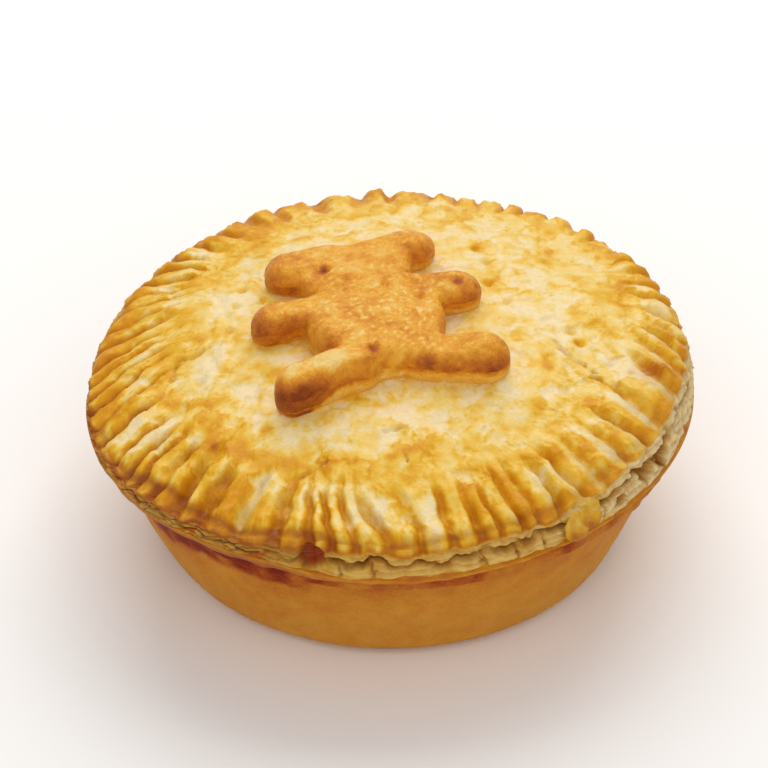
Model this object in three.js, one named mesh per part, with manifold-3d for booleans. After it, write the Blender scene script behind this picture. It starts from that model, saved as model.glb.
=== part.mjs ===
// Small round chicken and cheese pie: pastry case, crimped puff-pastry lid and a pastry bear on top.
// Millimetres, +Z up, the middle of the flat foot at the origin, the bear's head towards +Y.

import * as THREE from 'three';
import { mergeVertices } from 'three/addons/utils/BufferGeometryUtils.js';
import Module from 'manifold-3d';

const wasm = await Module();
wasm.setup();

// Case: a smooth tapered cup of shortcrust with a small turned rim
const FOOT_RADIUS = 42;
const FOOT_ROUNDING = 3;
const WALL_RADIUS = 50.6;
const WALL_HEIGHT = 23.7;
const RIM_RADIUS = 53;
const RIM_ROUNDING = 0.9;
const JOINT_HEIGHT = 27.7;
const CASE_COLUMNS = 96;
// How far the wall bellies out half way up: degrees and millimetres
const WALL_BELLIES = [[0, 0.25], [180, 0.3], [200, 1.1], [225, 1.3], [250, 0.5], [270, 0.25]];

// Lid: a puffed disc, its browned upper edge drawn in from the flaky lip below it
const LIP_RADIUS = 55;
const LIP_ROUNDING = 1.1;
const LIP_HANG = 0.7;
const EDGE_RADIUS = 53.4;
const EDGE_HEIGHT = 34;
const DOME_RISE = 8;
const DOME_POWER = 2.6;
const GAP = 0.3;
// How far the lip stands out from its round, how the rim above it has risen or sunk, and how far that rim
// has drawn in: degrees and millimetres
const LIP_BULGES = [
  [0, -0.3], [12, -1], [30, -1], [45, -0.4], [60, 0], [180, 0], [193, 1], [205, 1.5], [222, 1.4], [235, 0.7],
  [250, 0],
];
const EDGE_RISES = [
  [0, 0.6], [90, 0], [170, 0], [190, -0.9], [205, -1.4], [220, -1.5], [237, -1.4], [245, -1.3], [252, 0],
  [263, 0.8], [275, 0.4], [300, 0.6], [315, 0.8], [340, 1],
];
const EDGE_INSETS = [
  [0, 0.5], [12, 0.8], [35, 0.8], [55, 0.3], [70, 0], [300, 0], [320, 0.3], [335, 1], [348, 0.8],
];

// Fork marks, by the angles at which they meet the rim, in degrees, as the photo shows them
const FORK_ANGLES = [
  1, 7, 13.5, 19.5, 25.5, 30.5, 35, 43, 48, 56, 61, 65.5, 71, 75.5, 81.5, 90.3, 97, 106.5, 116.5, 123, 131.5,
  137.5, 143, 148.5, 154, 160, 165, 170.5, 176.5, 181.5, 185.5, 189.5, 193.5, 198.5, 203, 209.6, 213.5, 216.8,
  222, 228, 233.5, 241.5, 249.5, 255.5, 259.5, 264, 269.5, 275.8, 281.5, 286.8, 290.5, 295, 298.8, 304, 308.5,
  314.8, 322, 328.3, 335, 344, 350.5, 355.5,
];
// How the marks change round the lid, by degrees: their slant in degrees for the whole radius, their depth in
// millimetres, half their width as a share of the ridge's, and how far in they reach as a share of the radius
const FORK_SLANTS = [
  [0, -55], [25, -20], [45, 10], [90, 0], [140, 10], [165, 40], [188, 35], [200, 15], [235, 5], [250, 12],
  [264, 38], [278, 6], [330, 0], [348, -35],
];
const FORK_DEPTHS = [
  [0, 1], [30, 0.7], [90, 1], [135, 0.9], [180, 0.9], [215, 1.2], [260, 1.2], [300, 1.5], [330, 2],
  [345, 1.6],
];
const FORK_WIDTHS = [
  [0, 0.34], [90, 0.34], [180, 0.28], [235, 0.24], [270, 0.3], [300, 0.32], [330, 0.44], [345, 0.4],
];
const FORK_REACHES = [
  [0, 0.8], [30, 0.86], [75, 0.86], [100, 0.82], [140, 0.78], [165, 0.72], [240, 0.735], [300, 0.74],
  [345, 0.76],
];
const SLANT_LIMIT = 0.35;
const PRESS_LENGTH = 0.11;
const SHOULDER_RISE = 0.3;
const CROWN_RISE = 0.5;
const RIM_NOTCH = 0.9;
const SKIRT_START = 0.96;
const SKIRT_DROP = 0.3;

// Bear: a cut-out of the same dough, turned a little to the left and puffed up most at its left leg
const BEAR_PLACE = new THREE.Vector2(-3.9, 0);
const BEAR_TURN = THREE.MathUtils.degToRad(15);
const BEAR_LEAN = 0.045;
const HEAD_THICKNESS = 5.4;
const LEFT_LEG_THICKNESS = 8;
const RIGHT_LEG_THICKNESS = 6.4;
const BEAR_SINK = 1.5;
const BEAR_BLEND = 2.5;
const OUTLINE_STEP = 1.6;
const BEAR_SHAPES = [
  { name: 'head', centre: [0, 12], half: [10.5, 7.8] },
  { name: 'body', centre: [0.4, -4], half: [12.5, 13.6] },
  { name: 'left ear', from: [-5, 16.3], to: [-11.2, 16.8], radius: 4.7 },
  { name: 'right ear', from: [5, 16.3], to: [11.6, 18], radius: 4.7 },
  { name: 'left arm', from: [-8, 2.5], to: [-17, 2], radius: 4.1 },
  { name: 'right arm', from: [8, 2.8], to: [17, 2], radius: 4.2 },
  { name: 'left leg', from: [-5.2, -16.1], to: [-17.2, -18.1], radius: 3.4 },
  { name: 'right leg', from: [7, -15.4], to: [17.2, -18.8], radius: 4.1 },
];

const FULL_TURN = 2 * Math.PI;
const { smoothstep, lerp, degToRad, radToDeg, euclideanModulo } = THREE.MathUtils;

// A repeatable number from -1 to 1 for each whole number
function scatter(index) {
  const value = Math.sin(index * 12.9898 + 4.1) * 43758.5453;
  return 2 * (value - Math.floor(value)) - 1;
}

// Value of a table of degrees and values at an angle, blended between its rows
function around(angle, table) {
  const degrees = euclideanModulo(radToDeg(angle), 360);
  const found = table.findIndex(([place]) => place > degrees);
  const next = found < 0 ? table.length : found;
  const [start, startValue] = table[next - 1];
  const [end, endValue] = table[next % table.length];
  return lerp(startValue, endValue, (degrees - start) / euclideanModulo(end - start, 360));
}

function polar(radius, angle, z) {
  return new THREE.Vector3(radius * Math.cos(angle), radius * Math.sin(angle), z);
}

// One ring of points for a list of angles, or a single point for a pole
function ring(angles, place) {
  return angles.map((angle, column) => ({ angle, point: place(angle, column) }));
}

function evenAngles(count) {
  return Array.from({ length: count }, (_, i) => (FULL_TURN * i) / count);
}

// Closed solid through rings that run from the bottom pole, out, up and in to the top pole. Rings of the same
// length are joined point by point, others by their angles
function ringSolid(rings) {
  const position = rings.flatMap((list) => list.flatMap(({ point }) => point.toArray()));
  const index = [];
  let start = 0;
  for (let level = 0; level + 1 < rings.length; level += 1) {
    const lower = rings[level];
    const upper = rings[level + 1];
    const upperStart = start + lower.length;
    const lowerAt = (i) => start + (i % lower.length);
    const upperAt = (j) => upperStart + (j % upper.length);
    const paired = lower.length === upper.length;
    const wrapped = (list, i) => (i < list.length ? list[i].angle : list[0].angle + FULL_TURN);
    const nextAngle = (list, i) => (paired ? i + 1 : wrapped(list, i + 1));
    const lowerSteps = lower.length > 1 ? lower.length : 0;
    const upperSteps = upper.length > 1 ? upper.length : 0;
    let i = 0;
    let j = 0;
    while (i < lowerSteps || j < upperSteps) {
      const lowerNext = i < lowerSteps ? nextAngle(lower, i) : Infinity;
      const upperNext = j < upperSteps ? nextAngle(upper, j) : Infinity;
      if (lowerNext <= upperNext) {
        index.push(lowerAt(i), lowerAt(i + 1), upperAt(j));
        i += 1;
      } else {
        index.push(lowerAt(i), upperAt(j + 1), upperAt(j));
        j += 1;
      }
    }
    start = upperStart;
  }
  return indexedGeometry(position, index);
}

function indexedGeometry(position, index) {
  const geometry = new THREE.BufferGeometry();
  geometry.setAttribute('position', new THREE.Float32BufferAttribute(position, 3));
  geometry.setIndex(index);
  geometry.computeVertexNormals();
  return geometry;
}

// Case

function caseGeometry() {
  const angles = evenAngles(CASE_COLUMNS);
  const sparse = evenAngles(CASE_COLUMNS / 4);
  const flare = (WALL_RADIUS - FOOT_RADIUS) / WALL_HEIGHT;
  const lean = Math.atan(flare);
  const level = (radius, z) => ring(angles, (angle) => polar(radius, angle, z));
  const footFillet = [0, 0.33, 0.67, 1].map((share) => {
    const bend = share * (Math.PI / 2 - lean);
    const radius = FOOT_RADIUS - FOOT_ROUNDING + FOOT_ROUNDING * Math.sin(bend);
    return level(radius, FOOT_ROUNDING * (1 - Math.cos(bend)));
  });
  const wall = [0.25, 0.45, 0.65, 0.85, 1].map((share) => {
    const radius = lerp(FOOT_RADIUS, WALL_RADIUS, share);
    const belly = (angle) => around(angle, WALL_BELLIES) * Math.sin(share * Math.PI);
    return ring(angles, (angle) => polar(radius + belly(angle), angle, WALL_HEIGHT * share));
  });
  const top = JOINT_HEIGHT - GAP;
  const rim = [
    level(RIM_RADIUS - RIM_ROUNDING, WALL_HEIGHT + RIM_ROUNDING / 2),
    level(RIM_RADIUS, WALL_HEIGHT + RIM_ROUNDING * 1.5),
    level(RIM_RADIUS, top - RIM_ROUNDING),
    level(RIM_RADIUS - RIM_ROUNDING, top),
  ];
  return ringSolid([
    ring([0], () => polar(0, 0, 0)),
    ring(sparse, (angle) => polar(FOOT_RADIUS * 0.5, angle, 0)),
    ...footFillet,
    ...wall,
    ...rim,
    ring(sparse, (angle) => polar(RIM_RADIUS * 0.5, angle, top)),
    ring([0], () => polar(0, 0, top)),
  ]);
}

// Lid

// Outline of the lid's lip, not quite round
function lipRadius(angle) {
  const oval = 0.4 * Math.sin(2 * angle) - 0.4 * Math.cos(2 * angle);
  return LIP_RADIUS + oval + 0.5 * Math.cos(3 * angle) + around(angle, LIP_BULGES);
}

// The lip hangs a little below the joint, outside the case's rim
function lipHeight(angle) {
  const wave = (1 - Math.cos(2 * angle + 0.4)) * (1 + 0.3 * Math.sin(5 * angle));
  return JOINT_HEIGHT - LIP_HANG + 0.3 * wave;
}

function edgeRadius(angle) {
  const oval = 1.2 * Math.sin(2 * angle) - 0.3 * Math.sin(3 * angle);
  return EDGE_RADIUS + oval - around(angle, EDGE_INSETS);
}

// The lid has risen most at the right, and has sunk at the left
function edgeHeight(angle) {
  const tilt = 1.4 * Math.cos(angle) + 0.9 * Math.cos(3 * angle);
  return EDGE_HEIGHT + tilt + around(angle, EDGE_RISES);
}

// Soft lumps of the baked surface
function lumps(x, y) {
  const broad = Math.sin(x / 5.3 + 1.3) * Math.sin(y / 6.1 + 0.4);
  const narrow = Math.sin((x + y) / 3.4 + 2.1) * Math.sin((x - y) / 4.1);
  return 0.35 * broad + 0.2 * narrow;
}

// Height of the lid's upper surface, without the fork marks
function lidTop(x, y) {
  const angle = Math.atan2(y, x);
  const share = Math.hypot(x, y) / edgeRadius(angle);
  const dome = DOME_RISE * (1 - share ** DOME_POWER);
  const tilt = (edgeHeight(angle) - EDGE_HEIGHT) * share ** 2;
  return EDGE_HEIGHT + dome + tilt + lumps(x, y);
}

// Four columns of points for each fork mark: its groove, then the shoulders and the crown of the next ridge
function lidColumns() {
  return FORK_ANGLES.flatMap((degrees, i) => {
    const start = degToRad(degrees);
    const end = degToRad(i + 1 < FORK_ANGLES.length ? FORK_ANGLES[i + 1] : FORK_ANGLES[0] + 360);
    const shoulder = around(start, FORK_WIDTHS);
    const depth = around(start, FORK_DEPTHS) * (1 + 0.4 * scatter(i + 200));
    const reach = around(start, FORK_REACHES) + 0.035 * scatter(i + 400);
    const spots = [
      { across: 0, lift: -depth, notch: RIM_NOTCH + 0.4 * scatter(i + 600) },
      { across: shoulder, lift: SHOULDER_RISE, notch: 0 },
      { across: 0.5, lift: CROWN_RISE, notch: 0 },
      { across: 1 - shoulder, lift: SHOULDER_RISE, notch: 0 },
    ];
    return spots.map(({ across, lift, notch }) => ({ rim: lerp(start, end, across), lift, notch, reach }));
  });
}

// Angle of a column further in, since the marks aren't quite radial
function columnAngle({ rim }, share) {
  const inward = Math.min(1 - share, SLANT_LIMIT);
  let angle = rim;
  for (let pass = 0; pass < 12; pass += 1) {
    angle = rim - degToRad(around(angle, FORK_SLANTS)) * inward;
  }
  return angle;
}

function crimpPoint(column, share) {
  const angle = columnAngle(column, share);
  const press = smoothstep(share, column.reach, column.reach + PRESS_LENGTH);
  const radius = edgeRadius(angle) * share - column.notch * press * share ** 4;
  const { x, y } = polar(radius, angle, 0);
  const skirt = SKIRT_DROP * smoothstep(share, SKIRT_START, 1);
  return new THREE.Vector3(x, y, lidTop(x, y) + column.lift * press - skirt);
}

// The open layers of the side: how far down each one lies and how far it stands out
const SIDE_LAYERS = [
  { name: 'skirt', drop: 0.06, out: 0.2, ragged: 0.1 },
  { name: 'upper leaf', drop: 0.2, out: 0.3, ragged: 0.3 },
  { name: 'gap', drop: 0.28, out: -1.4, ragged: 0.3 },
  { name: 'gap', drop: 0.38, out: -1.4, ragged: 0.3 },
  { name: 'lower leaf', drop: 0.46, out: 0.5, ragged: 0.4 },
  { name: 'lower leaf', drop: 0.8, out: 0.2, ragged: 0.3 },
];

// The layers stand open at the front and right and are pressed shut at the left
function layerOpening(angle) {
  return 0.6 + 0.4 * Math.cos(angle + 0.6);
}

function sidePoint(column, index, layer, seed) {
  const angle = column.rim;
  const top = crimpPoint(column, 1);
  const topRadius = Math.hypot(top.x, top.y);
  const step = (layer.out + layer.ragged * scatter(index * 7 + seed)) * layerOpening(angle);
  const radius = lerp(topRadius, lipRadius(angle), layer.drop ** 0.8) + step;
  return polar(radius, angle, lerp(top.z, lipHeight(angle) + LIP_ROUNDING, layer.drop));
}

function lidGeometry() {
  const columns = lidColumns();
  const eachColumn = (place, share = 1) =>
    columns.map((column, i) => ({ angle: columnAngle(column, share), point: place(column, i) }));
  const smooth = (count, share) =>
    ring(evenAngles(count), (angle) => {
      const { x, y } = polar(edgeRadius(angle) * share, angle, 0);
      return new THREE.Vector3(x, y, lidTop(x, y));
    });
  const underside = JOINT_HEIGHT;
  const lip = [
    eachColumn(({ rim }) => polar(lipRadius(rim) - LIP_ROUNDING, rim, lipHeight(rim))),
    eachColumn(({ rim }) => polar(lipRadius(rim), rim, lipHeight(rim) + LIP_ROUNDING)),
  ];
  const layers = SIDE_LAYERS.map((layer, seed) =>
    eachColumn((column, i) => sidePoint(column, i, layer, 1000 * (seed + 1))),
  );
  const border = [1, 0.965, 0.92, 0.87, 0.81, 0.75].map((share) =>
    eachColumn((column) => crimpPoint(column, share), share),
  );
  return ringSolid([
    ring([0], () => polar(0, 0, underside)),
    ring(evenAngles(48), (angle) => polar(RIM_RADIUS * 0.7, angle, underside)),
    ring(evenAngles(120), (angle) => polar(RIM_RADIUS - 0.6, angle, underside)),
    ...lip,
    ...layers.toReversed(),
    ...border,
    smooth(120, 0.67),
    smooth(100, 0.58),
    smooth(80, 0.47),
    smooth(60, 0.35),
    smooth(40, 0.23),
    smooth(20, 0.11),
    ring([0], () => new THREE.Vector3(0, 0, lidTop(0, 0))),
  ]);
}

// Bear

function capsuleDistance(point, { from, to, radius }) {
  const start = new THREE.Vector2(...from);
  const along = new THREE.Vector2(...to).sub(start);
  const offset = point.clone().sub(start);
  const share = THREE.MathUtils.clamp(offset.dot(along) / along.lengthSq(), 0, 1);
  return offset.addScaledVector(along, -share).length() - radius;
}

function ellipseDistance(point, { centre, half }) {
  const x = point.x - centre[0];
  const y = point.y - centre[1];
  const scaled = Math.hypot(x / half[0], y / half[1]);
  const slope = Math.hypot(x / half[0] ** 2, y / half[1] ** 2);
  return slope > 0 ? (scaled * (scaled - 1)) / slope : -Math.min(...half);
}

function smoothMin(a, b) {
  const overlap = Math.max(BEAR_BLEND - Math.abs(a - b), 0) / BEAR_BLEND;
  return Math.min(a, b) - (overlap ** 2 * BEAR_BLEND) / 4;
}

// Signed distance to the bear's outline in its own plan
function bearDistance(point) {
  return BEAR_SHAPES.map((shape) =>
    shape.half ? ellipseDistance(point, shape) : capsuleDistance(point, shape),
  ).reduce(smoothMin);
}

function outwardNormal(point) {
  const step = 0.01;
  const slope = (dx, dy) =>
    bearDistance(new THREE.Vector2(point.x + dx, point.y + dy)) -
    bearDistance(new THREE.Vector2(point.x - dx, point.y - dy));
  return new THREE.Vector2(slope(step, 0), slope(0, step)).normalize();
}

function snapToOutline(point) {
  const snapped = point.clone();
  for (let pass = 0; pass < 4; pass += 1) {
    snapped.addScaledVector(outwardNormal(snapped), -bearDistance(snapped));
  }
  return snapped;
}

// Walks once round the bear, counterclockwise from the top of its head
function bearOutline() {
  const first = snapToOutline(new THREE.Vector2(0, 25));
  const outline = [first];
  for (;;) {
    const last = outline.at(-1);
    const normal = outwardNormal(last);
    const ahead = new THREE.Vector2(-normal.y, normal.x).multiplyScalar(OUTLINE_STEP);
    const next = snapToOutline(last.clone().add(ahead));
    if (outline.length > 2 && next.distanceTo(first) < OUTLINE_STEP) {
      return outline;
    }
    outline.push(next);
  }
}

// Edge of the cut-out above the lid, up to its flat top, as shares of its thickness
const BEAR_EDGE = [
  { inset: 0, rise: 0.3 },
  { inset: 0, rise: 0.6 },
  { inset: 0.35, rise: 0.8 },
  { inset: 0.95, rise: 0.94 },
  { inset: 1.9, rise: 1 },
];

function bearThickness(point) {
  const legs = lerp(LEFT_LEG_THICKNESS, RIGHT_LEG_THICKNESS, smoothstep(point.x, -12, 6));
  return lerp(legs, HEAD_THICKNESS, smoothstep(point.y, -16, 6));
}

// From the bear's own plan to its place on the lid
function onLid(point, height) {
  const leaning = new THREE.Vector2(point.x + BEAR_LEAN * point.y, point.y);
  const { x, y } = leaning.rotateAround(new THREE.Vector2(), BEAR_TURN).add(BEAR_PLACE);
  return new THREE.Vector3(x, y, lidTop(x, y) + height);
}

function bearGeometry(lid) {
  const outline = bearOutline();
  const normals = outline.map(outwardNormal);
  const count = outline.length;
  const insetOutline = (inset) =>
    outline.map((point, i) => point.clone().addScaledVector(normals[i], -inset));
  const rings = [outline, ...BEAR_EDGE.map(({ inset }) => insetOutline(inset))];
  const foot = outline.map((point) => onLid(point, -BEAR_SINK));
  const edge = BEAR_EDGE.flatMap(({ rise }, level) =>
    rings[level + 1].map((point) => onLid(point, bearThickness(point) * rise)),
  );
  const position = [...foot, ...edge].flatMap((point) => point.toArray());
  const index = [];
  for (let level = 0; level + 1 < rings.length; level += 1) {
    for (let i = 0; i < count; i += 1) {
      const a = level * count + i;
      const b = level * count + ((i + 1) % count);
      index.push(a, b, a + count, b, b + count, a + count);
    }
  }
  const topStart = (rings.length - 1) * count;
  for (const [a, b, c] of THREE.ShapeUtils.triangulateShape(rings.at(-1), [])) {
    index.push(topStart + a, topStart + b, topStart + c);
  }
  for (const [a, b, c] of THREE.ShapeUtils.triangulateShape(rings[0], [])) {
    index.push(a, c, b);
  }
  const seat = lid.clone().translate(0, 0, GAP);
  return toGeometry(toManifold(indexedGeometry(position, index)).subtract(toManifold(seat)));
}

function toManifold(geometry) {
  const bare = geometry.clone();
  bare.deleteAttribute('normal');
  const merged = mergeVertices(bare);
  const vertProperties = new Float32Array(merged.getAttribute('position').array);
  const triVerts = new Uint32Array(merged.getIndex().array);
  return new wasm.Manifold(new wasm.Mesh({ numProp: 3, vertProperties, triVerts }));
}

function toGeometry(manifold) {
  const mesh = manifold.getMesh();
  return indexedGeometry(mesh.vertProperties, Array.from(mesh.triVerts));
}

// The pie

function pastry(name, geometry, color, roughness) {
  const mesh = new THREE.Mesh(geometry, new THREE.MeshStandardMaterial({ color, roughness, metalness: 0 }));
  mesh.name = name;
  return mesh;
}

const pie = new THREE.Group();
const lidShape = lidGeometry();
pie.add(pastry('case', caseGeometry(), 0xb0742d, 0.6));
pie.add(pastry('lid', lidShape, 0xe8bd68, 0.5));
pie.add(pastry('bear', bearGeometry(lidShape), 0xd28f3c, 0.55));

export default pie;
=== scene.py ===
"""Looks of a small chicken and cheese pie: pastry case, crimped flaky lid and pastry bear."""

import math
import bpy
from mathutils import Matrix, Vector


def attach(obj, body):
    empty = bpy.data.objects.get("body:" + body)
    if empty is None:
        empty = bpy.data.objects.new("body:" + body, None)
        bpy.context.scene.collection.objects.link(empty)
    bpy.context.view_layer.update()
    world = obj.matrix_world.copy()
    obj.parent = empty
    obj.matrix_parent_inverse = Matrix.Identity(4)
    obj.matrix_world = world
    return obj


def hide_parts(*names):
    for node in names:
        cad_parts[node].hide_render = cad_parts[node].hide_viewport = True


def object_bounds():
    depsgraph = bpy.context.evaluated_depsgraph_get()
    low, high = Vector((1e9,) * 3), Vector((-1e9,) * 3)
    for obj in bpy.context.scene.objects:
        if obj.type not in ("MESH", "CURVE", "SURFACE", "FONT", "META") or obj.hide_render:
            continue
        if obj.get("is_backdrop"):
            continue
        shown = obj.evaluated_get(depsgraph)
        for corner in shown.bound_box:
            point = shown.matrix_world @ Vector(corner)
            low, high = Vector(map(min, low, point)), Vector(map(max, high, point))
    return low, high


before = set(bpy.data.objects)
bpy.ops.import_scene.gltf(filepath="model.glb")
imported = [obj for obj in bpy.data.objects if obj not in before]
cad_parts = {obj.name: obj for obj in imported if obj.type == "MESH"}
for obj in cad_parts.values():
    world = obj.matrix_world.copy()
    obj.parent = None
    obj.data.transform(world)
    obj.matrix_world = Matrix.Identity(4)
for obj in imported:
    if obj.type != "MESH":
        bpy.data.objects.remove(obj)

from types import SimpleNamespace

import bpy
import numpy as np
from mathutils import Vector

CAD_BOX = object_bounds()
MM = 0.001
FULL_TURN = 2 * math.pi

# Sizes in millimetres, as in the solids, but for a lip that stays inside their box and a bear that sinks less
FOOT_RADIUS = 42.0
FOOT_ROUNDING = 3.0
WALL_RADIUS = 50.6
WALL_HEIGHT = 23.7
RIM_RADIUS = 53.0
CASE_TOP = 27.4
JOINT_HEIGHT = 27.7
LIP_RADIUS = 54.99
LIP_ROUNDING = 1.1
LIP_HANG = 0.7
EDGE_RADIUS = 53.4
EDGE_HEIGHT = 34.0
DOME_RISE = 8.0
DOME_POWER = 2.6
BEAR_PLACE = (-3.9, 0.0)
BEAR_TURN = math.radians(15)
BEAR_LEAN = 0.045
HEAD_THICKNESS = 5.4
LEFT_LEG_THICKNESS = 8.0
RIGHT_LEG_THICKNESS = 6.4
BEAR_SINK = 0.8
BEAR_BLEND = 2.5
# Head and body by centre and half widths; ears, arms and legs by both ends and radius
BEAR_ELLIPSES = [((0, 12), (10.5, 7.8)), ((0.4, -4), (12.5, 13.6))]
BEAR_LIMBS = [((-5, 16.3), (-11.2, 16.8), 4.7), ((5, 16.3), (11.6, 18), 4.7),
              ((-8, 2.5), (-17, 2), 4.1), ((8, 2.8), (17, 2), 4.2),
              ((-5.2, -16.1), (-17.2, -18.1), 3.4), ((7, -15.4), (17.2, -18.8), 4.1)]

# Degrees round the pie and millimetres, as in the solids: how far the case's wall bellies out, the lip stands
# out, and the rim above it has risen and drawn in
WALL_BELLIES = [(0, 0.25), (180, 0.3), (200, 1.1), (225, 1.3), (250, 0.5), (270, 0.25)]
LIP_BULGES = [(0, -0.3), (12, -1), (30, -1), (45, -0.4), (60, 0), (180, 0), (193, 1), (205, 1.5), (222, 1.4),
              (235, 0.7), (250, 0)]
EDGE_RISES = [(0, 0.6), (90, 0), (170, 0), (190, -0.9), (205, -1.4), (220, -1.5), (237, -1.4), (245, -1.3),
              (252, 0), (263, 0.8), (275, 0.4), (300, 0.6), (315, 0.8), (340, 1)]
EDGE_INSETS = [(0, 0.5), (12, 0.8), (35, 0.8), (55, 0.3), (70, 0), (300, 0), (320, 0.3), (335, 1), (348, 0.8)]

# Angles of the fork marks at the rim, in degrees, read off the photo
FORK_ANGLES = [
    1, 7, 13.5, 19.5, 25.5, 30.5, 35, 43, 48, 56, 61, 65.5, 71, 75.5, 81.5, 90.3, 97, 106.5, 116.5, 123,
    131.5, 137.5, 143, 148.5, 154, 160, 165, 170.5, 176.5, 181.5, 185.5, 189.5, 193.5, 198.5, 203, 209.6,
    213.5, 216.8, 222, 228, 233.5, 241.5, 249.5, 255.5, 259.5, 264, 269.5, 275.8, 281.5, 286.8, 290.5, 295,
    298.8, 304, 308.5, 314.8, 322, 328.3, 335, 344, 350.5, 355.5
]
# Degrees and values, as in all tables down to the pricks: the fork marks' slant in degrees, depth in
# millimetres, half width as a share of the ridge's, and start, and the ridges' end, as shares of the radius
FORK_SLANTS = [(0, -55), (25, -20), (45, 10), (90, 0), (140, 10), (165, 40), (188, 35), (200, 15), (235, 5),
               (250, 12), (264, 38), (278, 6), (330, 0), (348, -35)]
FORK_DEPTHS = [(0, 0.65), (15, 0.5), (35, 0.5), (55, 0.8), (90, 1), (135, 0.65), (160, 0.65), (180, 0.72),
               (212, 1.15), (226, 1.55), (248, 1.4), (256, 0.95), (262, 0.72), (300, 0.75)]
FORK_WIDTHS = [(0, 0.2), (90, 0.3), (180, 0.22), (215, 0.22), (225, 0.3), (245, 0.28), (270, 0.26),
               (300, 0.22)]
FORK_REACHES = [(0, 0.8), (30, 0.86), (75, 0.86), (100, 0.82), (140, 0.78), (165, 0.72), (240, 0.735),
                (300, 0.74), (345, 0.76)]
RIDGE_ENDS = [(0, 0.975), (165, 0.985), (185, 1.01), (205, 0.985), (217, 0.958), (235, 0.96), (250, 0.975),
              (270, 0.99), (285, 0.975), (300, 0.965), (345, 0.97)]
# How far in the slant goes on, and how far the marks take to deepen, as shares of the radius
SLANT_LIMIT = 0.35
PRESS_LENGTH = 0.11
# How far the ridges lean over like scales, 0 to 1
RIDGE_SKEWS = [(0, 0.7), (15, 0.3), (30, 0), (290, 0), (305, 0.7), (345, 1)]
# How far a browned skirt shows below the ridges, and how brown the grooves are towards the rim, from browning
# and painted shade in the grooves
SKIRTS = [(0, 0), (180, 0), (187, 0.2), (200, 0.7), (213, 1), (250, 1), (265, 0.7), (300, 0.5), (315, 0)]
GROOVE_BROWNS = [(0, 0.25), (20, 0.15), (90, 0.3), (140, 0.2), (180, 0.4), (205, 0.55), (222, 0.7),
                 (236, 0.8), (238.5, 0), (245, 0), (247.5, 0.7), (262, 0.45), (290, 0.35), (310, 0.25)]
# How much more golden, or paler with a minus, the grooves, the ridges and the very rim are
GROOVE_TINTS = [(0, 0.2), (30, 0.15), (90, 0.25), (210, 0.3), (236, 0.3), (238.5, -0.3), (245, -0.25),
                (247.5, 0.25), (262, 0.16), (290, 0.16), (345, 0.15)]
RIDGE_TINTS = [(0, 0.12), (30, 0.05), (90, -0.06), (150, -0.1), (175, -0.04), (205, -0.03), (215, 0),
               (225, 0.02), (245, 0.02), (256, -0.09), (290, -0.09), (305, 0.08), (345, 0.15)]
RIM_TINTS = [(0, 0.08), (15, 0.15), (40, 0.3), (160, 0.3), (190, 0.28), (212, 0.08), (300, 0),
             (345, 0.05)]
# The flaky edge, whose drop is 0 at the rim and 1 at the lip: the drops at which its skin and its layers end,
# how far the layers gape, how pale they are, and how far the lip curls in under itself, 0 to 1
HEMS = [(0, 0.07), (90, 0.12), (170, 0.16), (200, 0.28), (215, 0.24), (248, 0.26), (258, 0.24), (290, 0.2),
        (306, 0.1), (320, 0.05)]
LEAF_FEET = [(0, 0.82), (90, 0.85), (200, 0.95), (260, 0.9), (300, 0.88), (325, 0.86), (345, 0.8)]
LEAF_OPENING = [(0, 0.6), (25, 0.5), (90, 0.4), (150, 0.25), (180, 0.15), (240, 0.25), (256, 0.5), (266, 0.8),
                (285, 1), (302, 0.7), (315, 0.6)]
LEAF_WHITENESS = [(0, 0.9), (90, 0.6), (180, 0.4), (200, 0.6), (220, 0.55), (240, 0.4), (258, 0.45),
                  (270, 0.65), (300, 0.75), (318, 0.95), (345, 1.05)]
LIP_CURLS = [(0, 0), (170, 0), (195, 1), (248, 1), (262, 0.2), (275, 0)]
# How far the browned band reaches down from the case's top, in millimetres, and how dark it is
RIM_BANDS = [(0, 2.2), (90, 2.5), (180, 5), (200, 8), (214, 10), (223, 8.4), (229, 7.4), (235, 6.8),
             (250, 6.8), (256, 4.2), (275, 3.9), (300, 3.1), (320, 2.9)]
RIM_BROWNING = [(0, 0.4), (90, 0.4), (180, 0.6), (215, 1), (248, 1), (257, 0.45), (275, 0.55), (300, 0.4),
                (320, 0.35)]

# Pricks and cracks in the lid, in plan
PRICKS = [(17.7, 13.3), (20.7, 7.1), (15.8, 25), (17.6, 20.5), (-27.1, 13.1), (-28.1, 7.8),
          (-28.9, 0.3), (32.1, -1.2), (33.7, -4.5), (-23.3, 8.6), (-33.5, -12.5)]
CRACKS = [[(-38.9, -10.5), (-37.1, -5.4), (-34.8, -4.5), (-30.3, -3.6)],
          [(28.5, -4.9), (30.5, -7.4), (36, -11.9)],
          [(35.1, -13), (38.6, -14.4), (40.8, -17.9)],
          [(-1.1, -30), (0.2, -29.5), (1.8, -28.4)],
          [(1.2, -32.6), (1.9, -34.4), (2.8, -36.3)],
          [(-15.3, -38.6), (-13.3, -37.7), (-10.3, -36)]]
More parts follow.
